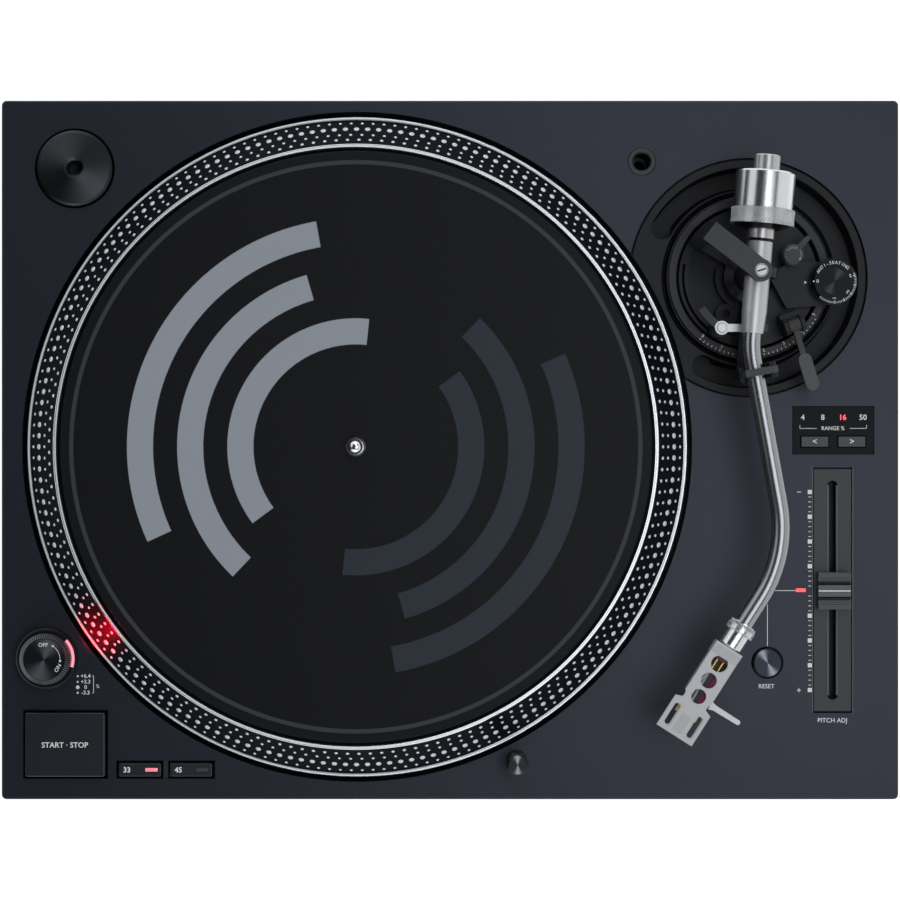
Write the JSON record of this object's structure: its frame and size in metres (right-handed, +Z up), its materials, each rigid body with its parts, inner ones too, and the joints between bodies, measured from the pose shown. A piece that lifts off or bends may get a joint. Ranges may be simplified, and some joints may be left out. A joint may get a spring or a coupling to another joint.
{
  "type": "turntable",
  "caption": "Direct-drive record turntable: dark rectangular plinth, strobe-dotted platter with felt slipmat, S-shaped tonearm on a raised gimbal base, pitch slider and buttons.",
  "frame": {"origin": "on the floor below the middle of the plinth", "axes": "+X to the user's right (tonearm side), +Y to the rear, +Z up"},
  "size_m": [0.453, 0.353, 0.1593],
  "materials": {
    "plate": "fine satin paint",
    "base": "matt",
    "screws": "zinc",
    "foot": "matt",
    "platter": "turned and polished, black strobe slope",
    "damping": "matt",
    "magnet": "plain",
    "steel": "polished",
    "felt": "felt",
    "coils": "wound copper on a board",
    "brass": "turned",
    "board": "circuit board",
    "black_plastic": "matt",
    "dark_metal": "satin",
    "spun_black": "spun and anodised black",
    "key": "satin",
    "panel": "gloss",
    "red_window": "lit",
    "lamp": "lit",
    "silver": "satin",
    "arm_metal": "polished",
    "arm_black": "satin",
    "ring_grey": "satin",
    "weight": "turned, satin",
    "gold": "gold plated",
    "wire": "insulation",
    "jack": "gold plated"
  },
  "bodies": {
    "plinth": {"top_plate": "plate", "base_shell": "base", "base_screws": "screws", "tonearm_housing": "dark_metal", "motor_stator": "coils", "bearing_housing": "brass", "circuit_board": "board", "power_supply": "board", "pitch_channel": "black_plastic", "range_panel": "panel", "button_trays": "black_plastic", "strobe_housing": "dark_metal", "strobe_window": "red_window", "headshell_holder": "black_plastic", "pitch_lamp": "lamp", "light_socket": "black_plastic", "phono_jacks": "jack", "ground_post": "steel", "mains_inlet": "black_plastic", "hinge_sockets": "black_plastic"},
    "foot_front_left": {"foot_front_left": "foot"},
    "foot_front_right": {"foot_front_right": "foot"},
    "foot_rear_left": {"foot_rear_left": "foot"},
    "foot_rear_right": {"foot_rear_right": "foot"},
    "ground_nut": {"ground_nut": "steel"},
    "platter": {"platter": "platter", "platter_damping": "damping", "rotor_magnet": "magnet", "spindle": "steel"},
    "slipmat": {"slipmat": "felt"},
    "record_adaptor": {"record_adaptor": "spun_black"},
    "start_stop_button": {"start_stop_button": "key"},
    "button_33": {"button_33": "key"},
    "button_45": {"button_45": "key"},
    "reset_button": {"reset_button": "spun_black"},
    "range_down": {"range_down": "panel"},
    "range_up": {"range_up": "panel"},
    "power_knob": {"power_knob": "spun_black"},
    "target_light": {"target_light": "dark_metal"},
    "pitch_knob": {"pitch_knob": "key"},
    "height_ring": {"height_ring": "ring_grey"},
    "arm_base": {"arm_base": "arm_black", "gimbal_bridge": "arm_black"},
    "arm_clamp": {"arm_clamp": "black_plastic"},
    "anti_skate_dial": {"anti_skate_dial": "black_plastic"},
    "height_lock": {"height_lock": "black_plastic"},
    "cue_lever": {"cue_lever": "key"},
    "arm_lift": {"arm_lift": "silver"},
    "arm_gimbal": {"gimbal_yoke": "silver"},
    "arm": {"pivot_housing": "silver", "arm_tube": "arm_metal", "rear_shaft": "silver"},
    "weight_sleeve": {"weight_sleeve": "black_plastic"},
    "counterweight": {"counterweight": "weight"},
    "pressure_ring": {"pressure_ring": "weight"},
    "lock_collar": {"lock_collar": "arm_metal"},
    "headshell": {"headshell": "silver", "headshell_pins": "gold", "lead_wires": "wire", "finger_lift": "arm_metal"}
  },
  "joints": [
    {"name": "platter_spin", "type": "hinge", "parent": "plinth", "child": "platter", "pos_m": [-0.0469, 0.0016, 0.09], "axis": [0, 0, -1], "continuous": true},
    {"name": "slipmat_slip", "type": "hinge", "parent": "platter", "child": "slipmat", "pos_m": [-0.0469, 0.0016, 0.1185], "axis": [0, 0, -1], "continuous": true},
    {"name": "adaptor_lift", "type": "slide", "parent": "plinth", "child": "record_adaptor", "axis": [0, 0, 1], "range_m": [0, 0.025]},
    {"name": "start_stop_press", "type": "slide", "parent": "plinth", "child": "start_stop_button", "axis": [0, 0, -1], "range_m": [0, 0.0015], "stiffness_N_per_m": 400, "springref_m": -0.002},
    {"name": "speed_33_press", "type": "slide", "parent": "plinth", "child": "button_33", "axis": [0, 0, -1], "range_m": [0, 0.001], "stiffness_N_per_m": 250, "springref_m": -0.0015},
    {"name": "speed_45_press", "type": "slide", "parent": "plinth", "child": "button_45", "axis": [0, 0, -1], "range_m": [0, 0.001], "stiffness_N_per_m": 250, "springref_m": -0.0015},
    {"name": "reset_press", "type": "slide", "parent": "plinth", "child": "reset_button", "axis": [0, 0, -1], "range_m": [0, 0.0012], "stiffness_N_per_m": 250, "springref_m": -0.0015},
    {"name": "range_down_press", "type": "slide", "parent": "plinth", "child": "range_down", "axis": [0, 0, -1], "range_m": [0, 0.0008], "stiffness_N_per_m": 250, "springref_m": -0.0015},
    {"name": "range_up_press", "type": "slide", "parent": "plinth", "child": "range_up", "axis": [0, 0, -1], "range_m": [0, 0.0008], "stiffness_N_per_m": 250, "springref_m": -0.0015},
    {"name": "power_turn", "type": "hinge", "parent": "plinth", "child": "power_knob", "pos_m": [-0.2028, -0.1047, 0.112], "axis": [0, 0, 1], "range_deg": [0, 60]},
    {"name": "light_press", "type": "slide", "parent": "plinth", "child": "target_light", "axis": [0, 0, -1], "range_m": [0, 0.018]},
    {"name": "pitch_slide", "type": "slide", "parent": "plinth", "child": "pitch_knob", "axis": [0, 1, 0], "range_m": [-0.05, 0.05]},
    {"name": "foot_front_left_level", "type": "slide", "parent": "plinth", "child": "foot_front_left", "axis": [0, 0, -1], "range_m": [0, 0.006]},
    {"name": "foot_front_right_level", "type": "slide", "parent": "plinth", "child": "foot_front_right", "axis": [0, 0, -1], "range_m": [0, 0.006]},
    {"name": "foot_rear_left_level", "type": "slide", "parent": "plinth", "child": "foot_rear_left", "axis": [0, 0, -1], "range_m": [0, 0.006]},
    {"name": "foot_rear_right_level", "type": "slide", "parent": "plinth", "child": "foot_rear_right", "axis": [0, 0, -1], "range_m": [0, 0.006]},
    {"name": "ground_nut_turn", "type": "hinge", "parent": "plinth", "child": "ground_nut", "pos_m": [0.15, 0.1575, 0.0465], "axis": [0, 1, 0], "continuous": true},
    {"name": "height_turn", "type": "hinge", "parent": "plinth", "child": "height_ring", "pos_m": [0.1505, 0.087, 0.09], "axis": [0, 0, 1], "range_deg": [0, 99]},
    {"name": "arm_base_lift", "type": "slide", "parent": "plinth", "child": "arm_base", "axis": [0, 0, 1], "range_m": [0, 0.006]},
    {"name": "clamp_open", "type": "hinge", "parent": "arm_base", "child": "arm_clamp", "pos_m": [0.15738, 0.03927, 0.146], "axis": [-0.1771, 0.9842, 0], "range_deg": [0, 90]},
    {"name": "anti_skate_turn", "type": "hinge", "parent": "arm_base", "child": "anti_skate_dial", "pos_m": [0.1914, 0.084, 0.115], "axis": [0, 0, -1], "range_deg": [0, 200]},
    {"name": "height_lock_turn", "type": "hinge", "parent": "arm_base", "child": "height_lock", "pos_m": [0.171, 0.0972, 0.115], "axis": [0, 0, 1], "range_deg": [0, 80]},
    {"name": "cue_lever_raise", "type": "hinge", "parent": "arm_base", "child": "cue_lever", "pos_m": [0.1712, 0.0622, 0.122], "axis": [-0.9563, -0.2924, 0], "range_deg": [0, 30]},
    {"name": "arm_lift_rise", "type": "slide", "parent": "arm_base", "child": "arm_lift", "axis": [0, 0, 1], "range_m": [0, 0.005]},
    {"name": "arm_swing", "type": "hinge", "parent": "arm_base", "child": "arm_gimbal", "pos_m": [0.1505, 0.087, 0.143], "axis": [0, 0, -1], "range_deg": [0, 44]},
    {"name": "arm_tilt", "type": "hinge", "parent": "arm_gimbal", "child": "arm", "pos_m": [0.1505, 0.087, 0.143], "axis": [-0.9962, 0.0872, 0], "range_deg": [0, 6]},
    {"name": "weight_travel", "type": "slide", "parent": "arm", "child": "weight_sleeve", "axis": [0.0872, 0.9962, 0], "range_m": [0, 0.007]},
    {"name": "counterweight_turn", "type": "hinge", "parent": "weight_sleeve", "child": "counterweight", "pos_m": [0.15355, 0.12187, 0.143], "axis": [0.0872, 0.9962, 0], "range_deg": [0, 720]},
    {"name": "pressure_ring_turn", "type": "hinge", "parent": "counterweight", "child": "pressure_ring", "pos_m": [0.15285, 0.1139, 0.143], "axis": [0.0872, 0.9962, 0], "continuous": true},
    {"name": "collar_turn", "type": "hinge", "parent": "arm", "child": "lock_collar", "pos_m": [0.14389, -0.08498, 0.143], "axis": [-0.5373, -0.8434, 0], "range_deg": [0, 40]},
    {"name": "headshell_pull", "type": "slide", "parent": "arm", "child": "headshell", "axis": [-0.5373, -0.8434, 0], "range_m": [0, 0.014]}
  ],
  "couplings": [
    {"joint": "height_turn", "follows": "arm_base_lift", "rad_per_m": 287.9},
    {"joint": "cue_lever_raise", "follows": "arm_lift_rise", "rad_per_m": 104.7},
    {"joint": "counterweight_turn", "follows": "weight_travel", "rad_per_m": 1795}
  ]
}
